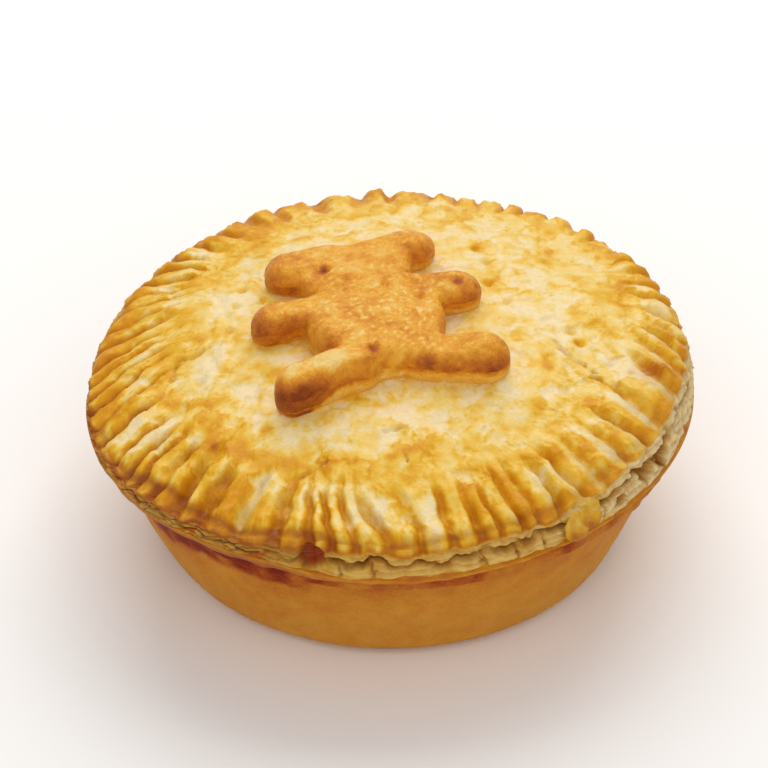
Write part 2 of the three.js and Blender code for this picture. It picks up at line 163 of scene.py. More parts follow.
# Golden patches, and pale ones with a minus: degrees, share of the radius, spans of both, strength
PATCHES = [
    (181.5, 0.63, 3, 0.04, 0.5), (231.5, 0.63, 2.2, 0.03, 0.6), (238, 0.74, 14, 0.04, 0.24),
    (240, 0.83, 10, 0.12, 0.16), (222, 0.72, 12, 0.04, 0.1), (294, 0.9, 6, 0.1, 0.3),
    (278, 0.62, 7, 0.05, 0.28), (291, 0.55, 2, 0.028, 0.5), (320, 0.635, 2.4, 0.028, 0.42),
    (337, 0.58, 2.2, 0.018, 0.4), (21.5, 0.86, 2.2, 0.04, 0.5), (39, 0.665, 4.5, 0.018, 0.42),
    (-7, 0.63, 1.8, 0.018, 0.45), (58, 0.55, 2.4, 0.022, 0.35), (118, 0.85, 4, 0.08, 0.3),
    (127, 0.85, 4, 0.1, 0.3), (95, 0.92, 2.4, 0.06, 0.3), (132, 0.74, 6, 0.03, 0.35),
    (150, 0.85, 14, 0.12, -0.18), (180, 0.9, 14, 0.12, 0.08), (318, 0.85, 3, 0.08, 0.2),
    (331, 0.85, 2.6, 0.1, 0.2), (195, 0.61, 8, 0.05, -0.35), (241.7, 0.84, 1.5, 0.1, -0.5),
    (203.5, 0.87, 3.5, 0.045, -0.24), (210, 0.82, 1.8, 0.08, -0.24), (219, 0.78, 2.2, 0.03, -0.35),
    (197, 0.85, 1.4, 0.06, -0.25), (246, 0.84, 2.2, 0.06, -0.3), (252, 0.84, 2.4, 0.1, -0.25),
    (261, 0.92, 2, 0.05, -0.22), (266.5, 0.92, 2, 0.05, -0.22), (272, 0.88, 2.5, 0.08, -0.18),
    (306, 0.9, 3, 0.09, -0.35), (335.3, 0.88, 1.8, 0.1, -0.5), (300.5, 0.93, 1.8, 0.05, -0.3),
    (284.7, 0.88, 1.6, 0.1, -0.2), (279, 0.87, 1.6, 0.08, -0.15), (276, 0.64, 2.6, 0.018, 0.4),
    (270, 0.672, 1.8, 0.014, 0.35), (283, 0.472, 4, 0.02, 0.22), (262.5, 0.624, 2.5, 0.015, 0.2),
    (270, 0.585, 2.4, 0.02, -0.4), (268.5, 0.49, 3.5, 0.014, -0.35), (273, 0.71, 1.8, 0.03, -0.4),
    (300.5, 0.61, 4, 0.03, -0.25), (256, 0.635, 4, 0.018, -0.25), (10, 0.55, 26, 0.16, -0.09)
]
# Red-brown spots, in the same way
SCORCHES = [(347.8, 0.905, 2.1, 0.05, 1), (344.8, 0.84, 1, 0.014, 0.8), (224.5, 0.775, 1, 0.015, 0.7)]
# Hollows in the flaky edge, and the one with the red leak in it: degrees, drop, spans of both, depth
HOLLOWS = [(325, 0.5, 1.9, 0.2, 2.2), (317, 0.62, 1.4, 0.12, 1.5), (331, 0.6, 1.6, 0.15, 1.6),
           (338, 0.45, 1.1, 0.15, 1.6)]
LEAK = (256, 0.45, 2.7, 0.34, 1.5)
# Degrees of the browned side, of the palest groove, of the lip's stains and of the end of the left fringe
BROWNED_SIDE = 215
PALE_GROOVE = 241.5
LIP_STAIN = 272
FRINGE = 224

# How finely the pieces are meshed: points in a ring, rings, and millimetres between points
LID_COLUMNS = 900
EDGE_RINGS = 40
BORDER_RADIUS = 36.5
BORDER_SPACING = 0.42
DOME_SPACING = 0.48
CASE_COLUMNS = 480
BEAR_SPACING = 0.24
BEAR_WALL_RINGS = 21
LOBE_COLUMNS = 44
LOBE_RINGS = 8
# Radius at which the grain of the flaky edge and of the ridges is laid out
EDGE_GRAIN = 54.0
RIDGE_GRAIN = 53.0
# Length of the flaky edge's blocks, the gold above which skin darkens more slowly, and the underside's looks
BLOCK_LENGTH = 6.0
GOLD_KNEE = 0.62
PLAIN_LOOKS = {"gold": 0.5, "brown": 0.1, "raw": 0.4, "leak": 0.0, "shade": 0.0}


# Small helpers


def ease(low, high, value):
    """0 on the low side, 1 on the high side, and a smooth change between."""
    share = np.clip((value - low) / (high - low), 0.0, 1.0)
    return share * share * (3 - 2 * share)


def lerp(start, end, share):
    return start + (end - start) * share


def bell(distance, width):
    return np.exp(-((distance / width) ** 2))


def around(angle, table):
    """A table's value at each angle, blended between its rows."""
    degrees, values = zip(*table)
    return np.interp(np.degrees(angle), degrees, values, period=360)


def turn_from(angle, degrees):
    """Degrees from a direction, -180 to 180."""
    return np.mod(np.degrees(angle) - degrees + 180, 360) - 180


def scatter(index):
    """A repeatable number from -1 to 1 for each whole number."""
    value = np.sin(np.asarray(index) * 12.9898 + 4.1) * 43758.5453
    return 2 * (value - np.floor(value)) - 1


def gradient_noise(points, seed):
    """Smooth noise, about -1 to 1, on a lattice of unit steps."""
    rng = np.random.default_rng(seed)
    order = rng.permutation(256)
    slopes = rng.normal(size=(256, 3))
    slopes /= np.linalg.norm(slopes, axis=1, keepdims=True)
    cell = np.floor(points).astype(int)
    local = points - cell
    fade = local**3 * (local * (local * 6 - 15) + 10)
    total = 0
    for corner in np.ndindex(2, 2, 2):
        key, weight = 0, 1
        for axis in range(3):
            key = order[(cell[:, axis] + corner[axis] + key) & 255]
            weight = weight * (fade[:, axis] if corner[axis] else 1 - fade[:, axis])
        total += weight * np.einsum("ij,ij->i", slopes[key], local - corner)
    return 1.6 * total


def rough(points, size, seed, octaves=3):
    """Layered noise whose largest features are about size millimetres."""
    total = 0
    for octave in range(octaves):
        total += 0.5**octave * gradient_noise(points * (2**octave / size), seed + octave)
    return total


def segment_distance(x, y, start, end):
    x, y = x - start[0], y - start[1]
    along = np.subtract(end, start)
    share = np.clip((x * along[0] + y * along[1]) / max(along @ along, 1e-9), 0, 1)
    return np.hypot(x - share * along[0], y - share * along[1])


def stitch(low, high):
    """Triangles between two rings of evenly spaced points, numbered one after the other."""
    ends = [(np.arange(count) + 1) / count if count > 1 else [] for count in (low, high)]
    order = np.argsort(np.hstack(ends), kind="stable")
    on_low = order < len(ends[0])
    i = np.cumsum(on_low) - on_low
    j = np.cumsum(~on_low) - ~on_low
    third = np.where(on_low, (i + 1) % low, low + (j + 1) % high)
    return np.column_stack([i % low, third, low + j % high])


def ring_faces(counts):
    starts = np.cumsum([0, *counts[:-2]])
    return np.vstack([stitch(a, b) + s for a, b, s in zip(counts, counts[1:], starts)])


def even_angles(count):
    return np.arange(count) * (FULL_TURN / count)


def spots(x, y, z):
    """Points from their coordinates, each an array or one number for all."""
    return np.column_stack(np.broadcast_arrays(x, y, z))


def ring(angle, radius, height):
    return spots(radius * np.cos(angle), radius * np.sin(angle), height)


def add_object(name, data):
    made = bpy.data.objects.new(name, data)
    bpy.context.scene.collection.objects.link(made)
    return made


def add_piece(name, points, faces, looks, material):
    """A smooth mesh piece from points in millimetres, with an attribute for each look."""
    mesh = bpy.data.meshes.new(name)
    mesh.from_pydata((points * MM).tolist(), [], np.asarray(faces).tolist())
    mesh.polygons.foreach_set("use_smooth", np.ones(len(mesh.polygons), bool))
    for look, values in looks.items():
        attribute = mesh.attributes.new(look, "FLOAT", "POINT")
        attribute.data.foreach_set("value", np.full(len(points), values, np.float32))
    mesh.materials.append(material)
    mesh.update()
    piece = add_object(name, mesh)
    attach(piece, "root")
    return piece


# Form of the lid, which follows the solids


def lip_radius(angle):
    oval = 0.4 * np.sin(2 * angle) - 0.4 * np.cos(2 * angle)
    return LIP_RADIUS + oval + 0.5 * np.cos(3 * angle) + around(angle, LIP_BULGES)


def lip_height(angle):
    wave = (1 - np.cos(2 * angle + 0.4)) * (1 + 0.3 * np.sin(5 * angle))
    return JOINT_HEIGHT - LIP_HANG + 0.3 * wave


def lip_curl(angle):
    """How far the lip curls in under itself, and how high its widest line stands above that."""
    curled = around(angle, LIP_CURLS)
    inward = lerp(LIP_ROUNDING, lip_radius(angle) - RIM_RADIUS - 0.8, curled)
    return inward, lerp(LIP_ROUNDING, 2.8, curled)


def edge_radius(angle):
    oval = 1.2 * np.sin(2 * angle) - 0.3 * np.sin(3 * angle)
    return EDGE_RADIUS + oval - around(angle, EDGE_INSETS)


def edge_height(angle):
    tilt = 1.4 * np.cos(angle) + 0.9 * np.cos(3 * angle)
    return EDGE_HEIGHT + tilt + around(angle, EDGE_RISES)


def lid_top(x, y):
    angle = np.arctan2(y, x)
    share = np.hypot(x, y) / edge_radius(angle)
    dome = DOME_RISE * (1 - share**DOME_POWER)
    tilt = (edge_height(angle) - EDGE_HEIGHT) * share**2
    broad = np.sin(x / 5.3 + 1.3) * np.sin(y / 6.1 + 0.4)
    narrow = np.sin((x + y) / 3.4 + 2.1) * np.sin((x - y) / 4.1)
    return EDGE_HEIGHT + dome + tilt + 0.35 * broad + 0.2 * narrow


# Fork marks


def nearest_mark(angle, share):
    """Numbers of each point's ridge and nearest groove, and its place across the ridge."""
    first = math.radians(FORK_ANGLES[0])
    starts = np.radians(FORK_ANGLES) - first
    widths = np.diff(np.append(starts, FULL_TURN))
    slant = np.radians(around(angle, FORK_SLANTS)) * np.minimum(1 - share, SLANT_LIMIT)
    turn = np.mod(angle + slant - first, FULL_TURN)
    ridge = np.searchsorted(starts, turn, side="right") - 1
    across = (turn - starts[ridge]) / widths[ridge]
    groove = np.where(across < 0.5, ridge, (ridge + 1) % len(starts))
    return ridge, groove, across


def fork_press(angle, share, plan):
    """Each point's ridge, groove and place across, and how far it is pressed and in the groove."""
    wander = angle + 0.016 * rough(plan, 6, 401, 2)
    number, mark, across = nearest_mark(wander, share)
    reach = around(angle, FORK_REACHES) + 0.035 * scatter(number + 400)
    press = ease(reach, reach + PRESS_LENGTH, share + 0.02 * rough(plan, 3, 411, 2))
    half_width = around(angle, FORK_WIDTHS) * (1 + 0.3 * scatter(mark + 300))
    groove = (1 - ease(0.2 * half_width, half_width, np.minimum(across, 1 - across))) * press
    groove *= np.clip(0.8 + 0.6 * rough(plan, 5, 421, 2), 0.15, 1.1)
    return number, mark, across, press, groove


def ridge_grain(angle, share):
    """Places for grain along the ridges, and the thin flakes there."""
    slant = np.radians(around(angle, FORK_SLANTS)) * (1 - share)
    along = ring(angle + slant, RIDGE_GRAIN, 14 * share)
    flakes = ease(0.08, 0.16, rough(along, 4.5, 441, 2))
    flakes += ease(0.2, 0.26, rough(along, 2.6, 446, 2))
    return along, flakes


def fork_relief(angle, share, plan):
    """Relief and rim notch of the fork marks, and the shares of each point in their parts."""
    number, mark, across, press, groove = fork_press(angle, share, plan)
    along, flakes = ridge_grain(angle, share)
    skew = around(angle, RIDGE_SKEWS)
    sloped = ease(0.0, 0.22, across) * (1 - 0.9 * ease(0.25, 1.0, across))
    crown = lerp(np.sin(math.pi * across) ** 0.6, sloped, skew)
    ridge = press * (1 - groove) * crown
    tip_place = around(angle, RIDGE_ENDS) + 0.015 * scatter(number + 900)
    tip = ease(tip_place - 0.012, tip_place + 0.018, share)
    knob = bell(share - tip_place + 0.02, 0.03) * crown * press
    rise = (0.7 + 0.6 * skew) * (1 + (0.6 - 0.3 * skew) * scatter(number + 800))
    depth = around(angle, FORK_DEPTHS) * (1 + 0.4 * scatter(mark + 200))
    relief = rise * ridge + 0.4 * knob - depth * groove * (1 - 0.5 * tip)
    relief += (0.08 * rough(along, 2.2, 431, 2) - 0.15 * flakes) * press - 0.45 * tip
    notch = (0.9 + 0.4 * scatter(mark + 600)) * groove * share**4
    # Painted highlight: a pale streak along each ridge's crest.
    painted_crest_highlight = bell(across - 0.58 - 0.12 * scatter(number + 500), 0.11) * press
    parts = SimpleNamespace(
        groove=groove,
        ridge=ridge * lerp(1, ease(0.2, 0.9, crown), skew),
        tint=scatter(number + 1000) - 0.5 * flakes,
        slope=skew * press * ease(0.38, 0.7, across),
        skirt=tip * press,
        line=bell(share - tip_place - 0.014, 0.012) * press,
        painted_crest_highlight=painted_crest_highlight * np.clip(0.4 + rough(along, 5, 456, 2), 0, 1),
        streaks=rough(along, 2.4, 451),
    )
    return relief, notch, parts


# Skin of the lid


def away_from(angle, share, degrees, place, span, reach):
    return np.hypot(turn_from(angle, degrees) / span, (share - place) / reach)


def patch_field(angle, share, patches):
    return sum(strength * bell(away_from(angle, share, *place), 1) for *place, strength in patches)


def prick_relief(x, y):
    """Relief and darkness of the pricks."""
    nearest = np.min([np.hypot(x - px, y - py) for px, py in PRICKS], axis=0)
    relief = 0.12 * bell(nearest - 1.5, 0.5) - bell(nearest, 0.8)
    return relief, bell(nearest, 1.1)


def crack_relief(x, y):
    """Relief of the cracks, and their painted shade."""
    legs = [leg for crack in CRACKS for leg in zip(crack, crack[1:])]
    plan = spots(x, y, 0.0)
    bent_x, bent_y = x + 0.9 * rough(plan, 3, 2), y + 0.9 * rough(plan, 3, 6)
    nearest = np.min([segment_distance(bent_x, bent_y, *leg) for leg in legs], axis=0)
    broken = np.clip(0.6 + 0.8 * rough(plan, 2.5, 9, 2), 0, 1)
    relief = 0.3 * bell(nearest - 0.7, 0.5) - 0.7 * bell(nearest, 0.35)
    return broken * relief, broken * bell(nearest, 0.4)


def wrinkle_lines(plan):
    """Fine short wrinkles of the skin."""
    line = bell(rough(plan, 9, 611, 2), 0.035)
    return line * ease(0.05, 0.3, rough(plan, 7, 616, 2))


def flake_plates(plan):
    """How far the skin has peeled off, and where its plates end."""
    bent = plan + 1.6 * spots(rough(plan, 4, 11), rough(plan, 4, 21), 0.0)
    peeled, edges = 0.0, 0.0
    for size, level, depth, seed in ((14, 0.12, 0.24, 31), (7, 0.22, 0.24, 36), (3.4, 0.32, 0.14, 41)):
        field = rough(bent, size, seed)
        peeled = peeled + depth * ease(level, level + 0.06, field)
        edges = np.maximum(edges, bell(field - level, 0.04))
    return peeled, edges


def skin_gold(angle, share, plan, parts, left):
    groove, ridge, border = parts.groove, parts.ridge, ease(0.55, 0.82, share)
    mottle = lerp(0.1 * rough(plan, 2.4, 91), 0.16 * parts.streaks, ease(0.7, 0.85, share))
    gold = 0.2 + border * (0.15 + 0.17 * left) + 0.2 * rough(plan, 8, 81)
    gold = gold + 0.17 * rough(plan, 4, 86, 2) + mottle
    gold += around(angle, GROOVE_TINTS) * groove + (around(angle, RIDGE_TINTS) + 0.14 * parts.tint) * ridge
    flaked = 0.15 * parts.flake_edge - 0.46 * parts.peeled
    # The ridges' gentle slopes are made paler: painted highlight, partly pale dough.
    gold += flaked + 0.26 * parts.skirt + 0.22 * parts.prick - 0.38 * parts.slope
    # Painted highlight: paler ridge crests at the left.
    gold -= 0.24 * parts.painted_crest_highlight * left + 0.05 * (1 - left) * border
    gold += around(angle, RIM_TINTS) * ease(0.88, 0.99, share)
    gold += patch_field(angle, share, PATCHES) * (0.9 + 0.5 * rough(plan, 3, 96))
    return np.minimum(gold, GOLD_KNEE + 0.4 * (gold - GOLD_KNEE))


def skin_brown_and_shade(angle, share, plan, parts, left):
    groove, browned = parts.groove, around(angle, SKIRTS)
    # Brown in the grooves towards the rim: browning, and painted shade in the grooves.
    brown = groove * around(angle, GROOVE_BROWNS) * ease(0.76, 0.86, share)
    brown *= 0.7 + 0.5 * rough(plan, 5, 101)
    brown += (0.26 + 0.04 * browned) * parts.skirt * (0.6 + 1.1 * rough(plan, 4, 111))
    # Browning and painted shade at the grooves' ends at the left and in the line below the ridge tips.
    brown += 0.5 * groove * ease(0.93, 1.0, share) * left + 0.5 * browned * parts.line
    # Painted shade in the cracks and creases.
    brown += 0.45 * parts.crack + 0.16 * parts.wrinkle
    return brown


def skin_looks(angle, share, plan, parts):
    left = 0.5 + 0.5 * np.cos(angle - math.radians(BROWNED_SIDE))
    scorch = patch_field(angle, share, SCORCHES)
    # Creamier on the ridges' gentle slopes near the rim: painted highlight, partly pale dough.
    raw = parts.slope * ease(0.82, 0.92, share) * (0.5 + 0.3 * rough(plan, 3, 106))
    raw += 0.6 * parts.groove * bell(turn_from(angle, PALE_GROOVE), 3.0)
    # Painted shade below the ridge tips, in the grooves at the left and in the cracks.
    shade = 0.2 * around(angle, SKIRTS) * parts.line + 0.12 * parts.groove * left + 0.12 * parts.crack
    return dict(
        gold=skin_gold(angle, share, plan, parts, left) + 0.4 * scorch,
        brown=skin_brown_and_shade(angle, share, plan, parts, left) + 0.12 * scorch,
        raw=raw,
        leak=0.46 * scorch,
        shade=shade,
        ridge=parts.ridge,
    )


def lid_skin(angle, share):
    """Points and looks of the lid's upper skin, for polar places on it."""
    radius = edge_radius(angle) * share
    plan = ring(angle, radius, 0.0)
    relief, notch, parts = fork_relief(angle, share, plan)
    radius = radius - notch
    x, y = radius * np.cos(angle), radius * np.sin(angle)
    prick, parts.prick = prick_relief(x, y)
    crack, parts.crack = crack_relief(x, y)
    parts.peeled, parts.flake_edge = flake_plates(plan)
    parts.wrinkle = wrinkle_lines(plan) * (1 - ease(0.75, 0.85, share))
    height = lid_top(x, y) + relief + prick + crack - parts.peeled
    height += 0.42 * rough(plan, 8, 51) + 0.18 * rough(plan, 2.8, 61) + 0.035 * rough(plan, 0.9, 71, 2)
    height -= 0.16 * parts.wrinkle
    return spots(x, y, height), skin_looks(angle, share, plan, parts)


# Flaky edge of the lid


def hollow_mask(angle, drop, hollow, ragged):
    return 1 - ease(0.7, 1.1, away_from(angle, drop, *hollow[:-1]) + 0.3 * ragged)


def lip_stain(angle):
    """Red-brown stains along the front of the lip."""
    patchy = np.clip(0.3 + 1.1 * rough(ring(angle, EDGE_GRAIN, 0), 6, 117, 2), 0, 1)
    return bell(turn_from(angle, LIP_STAIN), 20) * patchy


def edge_parts(angle, drop, ridge):
    """Shares of each point in the flaky edge's skin, its layers and their gaps."""
    edge = SimpleNamespace(left=around(angle, LIP_CURLS), browned=around(angle, SKIRTS))
    edge.flat = flat = ring(angle, EDGE_GRAIN, 0)
    edge.solid = ring(angle, EDGE_GRAIN, 6 * drop)
    edge.opening = around(angle, LEAF_OPENING) * np.clip(0.85 + 0.6 * rough(flat, 9, 121, 2), 0.2, 1.4)
    hem = around(angle, HEMS) * (0.9 - 0.2 * edge.left + (0.2 + 0.4 * edge.left) * ridge)
    hem = np.maximum(hem + 0.06 * rough(flat, 7, 131, 2) + 0.05 * rough(flat, 2.4, 136, 2), 0.03)
    seam = hem + np.maximum(0.29 + 0.14 * rough(flat, 6, 141, 2) + 0.06 * rough(flat, 1.8, 143, 2), 0.1)
    foot = around(angle, LEAF_FEET) + 0.08 * rough(flat, 5, 151)
    edge.skin = 1 - ease(hem - 0.03, hem + 0.03, drop)
    edge.below = ease(foot - 0.02, foot + 0.02, drop)
    edge.leaf = (1 - edge.skin) * (1 - edge.below)
    edge.lower = ease(seam - 0.03, seam + 0.03, drop)
    gaping = np.clip(0.7 + 0.9 * rough(flat, 6, 146, 2), 0, 1)
    edge.crevice = bell(drop - seam, 0.045 + 0.04 * edge.opening) * gaping * edge.leaf
    edge.ragged = rough(edge.solid, 2.2, 156)
    edge.layers = np.sin(34 * drop + 4 * rough(flat, 5, 176, 2)) * edge.leaf
    edge.tip = ridge * (1 - ease(0.25, 0.75, drop / hem))
    edge.fringe = edge.left * ease(-22, 0, turn_from(angle, FRINGE))
    return edge


def add_splits(edge, angle):
    """Upright breaks that part the lower layers into blocks."""
    place = EDGE_GRAIN * angle / BLOCK_LENGTH + 0.14 * rough(edge.solid, 2.5, 153)
    edge.block = np.floor(place)
    to_break = BLOCK_LENGTH * np.minimum(place - edge.block, 1 - place + edge.block)
    edge.split = bell(to_break, 0.34) * edge.leaf * edge.lower * np.clip(1.4 * edge.opening, 0, 1)
    edge.split = edge.split * np.clip(0.6 + scatter(edge.block), 0, 1)
    edge.dark = np.maximum(edge.crevice, 0.75 * edge.split)


def edge_relief(edge, angle, drop, ridge):
    """How far the flaky edge stands out, with the hollows and the leak sunk in."""
    out = edge.skin * (0.1 + edge.browned * (0.9 * ridge - 0.5)) - 0.5 * edge.below
    out = out - edge.crevice * (0.8 + 1.4 * edge.opening) - 0.9 * edge.split
    blocks = edge.lower * (0.2 + 0.6 * scatter(edge.block))
    out += edge.leaf * (0.15 + 0.35 * rough(edge.flat, 3.4, 161) + blocks)
    edge.hollowed = np.zeros_like(angle)
    for hollow in HOLLOWS:
        mask = hollow_mask(angle, drop, hollow, edge.ragged)
        edge.hollowed = np.maximum(edge.hollowed, mask)
        out = lerp(out, -hollow[-1], mask)
    edge.leak = hollow_mask(angle, drop, LEAK, edge.ragged)
    out = lerp(out, -LEAK[-1], edge.leak)
    crumbs = edge.leaf * ((0.2 + 0.25 * edge.left) * edge.ragged + 0.22 * edge.layers)
    return out + (0.12 * rough(edge.solid, 1.4, 171) + crumbs)


def edge_brown_and_shade(edge, drop, rim_brown):
    leaf, left, ragged = edge.leaf, edge.left, edge.ragged
    stained = edge.browned * (0.4 - 0.4 * edge.tip + 0.45 * rough(edge.solid, 3, 186))
    brown = edge.skin * (0.35 * rim_brown + stained)
    # Painted shade in the crevices, splits and hollows and in the gaps between the layers.
    brown += 0.6 * edge.dark + 0.5 * edge.hollowed + 0.24 * ease(0.3, 0.9, -edge.layers)
    # Painted shade in the sunk bits of the ragged layers.
    brown += leaf * np.clip(0.05 - 0.3 * ragged, 0, 0.5)
    # At the left, painted shade under the ridge tips and in the pits of the ragged layers.
    brown += left * (0.35 * (1 - ease(0.2, 0.55, drop)) + 0.45 * leaf * ease(0.2, 0.6, -ragged))
    brown += (0.55 * (left - edge.fringe) + 0.22 * edge.fringe) * leaf
    # Below the layers' foot: browning and painted shade in the gap above the lip.
    return brown + 0.3 * edge.below


def edge_looks(edge, angle, drop, rim_looks):
    gold = lerp(0.45, np.clip(rim_looks["gold"], 0.3, 0.7) + 0.15 - 0.25 * edge.tip, edge.skin)
    gold += 0.14 * rough(edge.solid, 2.5, 181)
    # Less pale in crevices and hollows, as painted shade.
    raw = edge.leaf * around(angle, LEAF_WHITENESS) * (1 - 0.5 * edge.hollowed) * (1 - 0.5 * edge.dark)
    raw = raw + 0.12 * edge.leaf * edge.ragged + edge.skin * rim_looks["raw"]
    # Painted shade in the crevices, hollows and leak, on the browned skin and in the left fringe below the
    # ridge tips.
    shade = 0.7 * edge.dark + 0.35 * edge.hollowed + 0.1 * edge.leak + 0.1 * edge.browned * edge.skin
    shade += edge.fringe * edge.leaf * np.clip(0.3 + 0.4 * edge.ragged, 0, 0.6)
    return dict(
        # Browning and painted shade below the layers' foot.
        gold=gold + 0.25 * edge.below,
        brown=edge_brown_and_shade(edge, drop, rim_looks["brown"]),
        raw=raw,
        leak=np.maximum(edge.leak, 0.6 * lip_stain(angle) * edge.below),
        shade=shade,
    )


def lid_side(angle, drop, rim, rim_looks):
    """Points and looks of the lid's open flaky edge, from its browned skin down to the lip."""
    ridge = rim_looks["ridge"]
    edge = edge_parts(angle, drop, ridge)
    add_splits(edge, angle)
    relief = edge_relief(edge, angle, drop, ridge)
    fade = 1 - ease(0.94, 1.0, drop)
    straight = lerp(np.hypot(rim[:, 0], rim[:, 1]), lip_radius(angle), drop**0.8)
    radius = np.minimum(straight + relief * fade * ease(0, 0.06, drop), lip_radius(angle))
    low = lip_height(angle) + lip_curl(angle)[1]
    height = lerp(rim[:, 2], low, drop)
    return ring(angle, radius, height), edge_looks(edge, angle, drop, rim_looks)


# Lid as a whole: each part gives its rings' counts, its points and its looks


def lid_underside():
    for radius, count in ((0.0, 1), (0.6 * RIM_RADIUS, 60), (RIM_RADIUS - 0.6, 240)):
        yield [count], ring(even_angles(count), radius, JOINT_HEIGHT), PLAIN_LOOKS


def lid_lip(angle):
    worn = np.clip(0.5 + 0.9 * rough(ring(angle, EDGE_GRAIN, 0), 5, 116), 0, 1)
    left = around(angle, LIP_CURLS)
    looks = dict(
        gold=0.62 + 0.2 * worn,
        brown=0.25 + 0.3 * worn + 0.4 * left,
        raw=0.2 * (1 - worn),
        leak=0.3 * left + 0.6 * lip_stain(angle),
        # Painted shade where the lip curls under itself at the left.
        shade=0.35 * left,
    )
    curl_in, curl_up = lip_curl(angle)
    for bend in np.radians([90, 75, 50, 25]):
        radius = lip_radius(angle) - (curl_in + 0.4 * worn) * (1 - math.cos(bend)) - 0.3 * worn
        height = lip_height(angle) + curl_up * (1 - math.sin(bend))
        yield [len(angle)], ring(angle, radius, height), looks


def lid_edge(angle):
    drops = np.linspace(1, 0, EDGE_RINGS + 1)[:-1]
    angles = np.tile(angle, EDGE_RINGS)
    rim, rim_looks = lid_skin(angles, np.ones(len(angles)))
    side = lid_side(angles, np.repeat(drops, len(angle)), rim, rim_looks)
    return [len(angle)] * EDGE_RINGS, *side


def lid_upper():
    border = np.arange(EDGE_RADIUS, BORDER_RADIUS, -BORDER_SPACING)
    dome = np.arange(BORDER_RADIUS, DOME_SPACING, -DOME_SPACING)
    radii = np.hstack([border, dome, 0.0])
    dome_counts = [max(12, round(FULL_TURN * radius / DOME_SPACING)) for radius in dome]
    counts = [LID_COLUMNS] * len(border) + dome_counts + [1]
    angles = np.hstack([even_angles(count) for count in counts])
    return counts, *lid_skin(angles, np.repeat(radii / EDGE_RADIUS, counts))


def make_lid(material):
    angle = even_angles(LID_COLUMNS)
    parts = [*lid_underside(), *lid_lip(angle), lid_edge(angle), lid_upper()]
    counts, shapes, _ = zip(*parts)
    looks = {}
    for name in PLAIN_LOOKS:
        looks[name] = np.hstack([np.full(len(shape), look[name]) for _, shape, look in parts])
    piece = add_piece("lid_pastry", np.vstack(shapes), ring_faces(sum(counts, [])), looks, material)
    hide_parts("lid")


# Flap of skin that hangs over the lid's edge

# Its lobes: degrees, radius, height, width, length, degrees of hang, degrees of spin
FLAP_LOBES = [(305.8, 54, 31.3, 5.4, 6, 68, 14), (308.8, 53.6, 32.5, 5.4, 5.4, 56, -20)]
LOBE_THICKNESS = 0.3


def lobe_points(number, lobe):
    """Rings of one thin curled lobe, from below its middle round to the top."""
    degrees, radius, height, width, length, hang, spin = lobe
    side, tilt, spun = np.radians([degrees, hang, spin])
    outward = np.array([math.cos(side), math.sin(side), 0.0])
    along = np.array([-math.sin(side), math.cos(side), 0.0])
    up = np.array([0.0, 0.0, 1.0])
    down = outward * math.cos(tilt) - up * math.sin(tilt)
    face = outward * math.sin(tilt) + up * math.cos(tilt)
    middle = outward * radius + up * height
    circle = ring(even_angles(LOBE_COLUMNS), 1.0, 3.7 * number)
    outline = 1.0 + 0.3 * rough(circle, 0.9, 501, 2)
    counts, points, tips = [], [], []
    for level in range(-LOBE_RINGS, LOBE_RINGS + 1):
        reach = 1 - abs(level) / LOBE_RINGS
        local = circle if reach else circle[:1]
        grow = outline[: len(local)] * reach
        s, t = grow * local[:, 0] * width / 2, grow * local[:, 1] * length / 2
        s, t = s * math.cos(spun) - t * math.sin(spun), s * math.sin(spun) + t * math.cos(spun)
        lift = 0.3 * rough(spots(s, t, 9.1 * number), 2.5, 521) - 0.02 * s**2 - 0.02 * t**2
        lift = lift + np.sign(level) * LOBE_THICKNESS * np.sqrt(1 - reach**4)
        counts.append(len(s))
        points.append(middle + s[:, None] * along + t[:, None] * down + lift[:, None] * face)
        tips.extend(t / length + 0.5)
    return counts, np.vstack(points), np.array(tips)


def make_flap(material):
    points, faces, golds, start = [], [], [], 0
    for number, lobe in enumerate(FLAP_LOBES):
        counts, shape, tip = lobe_points(number, lobe)
        points.append(shape)
        faces.append(ring_faces(counts) + start)
        golds.append(0.36 + 0.4 * ease(0.4, 1.0, tip) + 0.2 * rough(shape, 2, 531))
        start += len(shape)
    gold = np.hstack(golds)
    stain = 0.4 * gold + 0.5 * ease(0.6, 0.9, gold)
    # A little painted shade over the whole flap.
    looks = {"gold": gold, "raw": 0.1, "brown": stain, "leak": 0.0, "shade": 0.1}
    piece = add_piece("flap", np.vstack(points), np.vstack(faces), looks, material)


# Case

# How far the rim's round stands out, and how far above the wall it starts
RIM_SWELL = 1.6
RIM_LIFT = 0.45


def case_profile():
    """Radius and height of the case's outline, from its foot up over the rim."""
    lean = math.atan((WALL_RADIUS - FOOT_RADIUS) / WALL_HEIGHT)
    inner = FOOT_RADIUS - FOOT_ROUNDING
    profile = [(radius, 0.0) for radius in np.linspace(36, inner, 4)]
    for bend in np.linspace(0, math.pi / 2 - lean, 9)[1:]:
        profile.append((inner + FOOT_ROUNDING * math.sin(bend), FOOT_ROUNDING * (1 - math.cos(bend))))
    for share in np.linspace(profile[-1][1] / WALL_HEIGHT, 1, 34)[1:]:
        profile.append((lerp(FOOT_RADIUS, WALL_RADIUS, share), WALL_HEIGHT * share))
    for bend in np.radians(np.linspace(-90, 90, 19)):
        swell = RIM_SWELL * abs(math.cos(bend)) ** 0.5
        height = lerp(WALL_HEIGHT + RIM_LIFT, CASE_TOP, 0.5 + 0.5 * math.sin(bend))
        profile.append((RIM_RADIUS - RIM_SWELL + swell, height))
    return profile


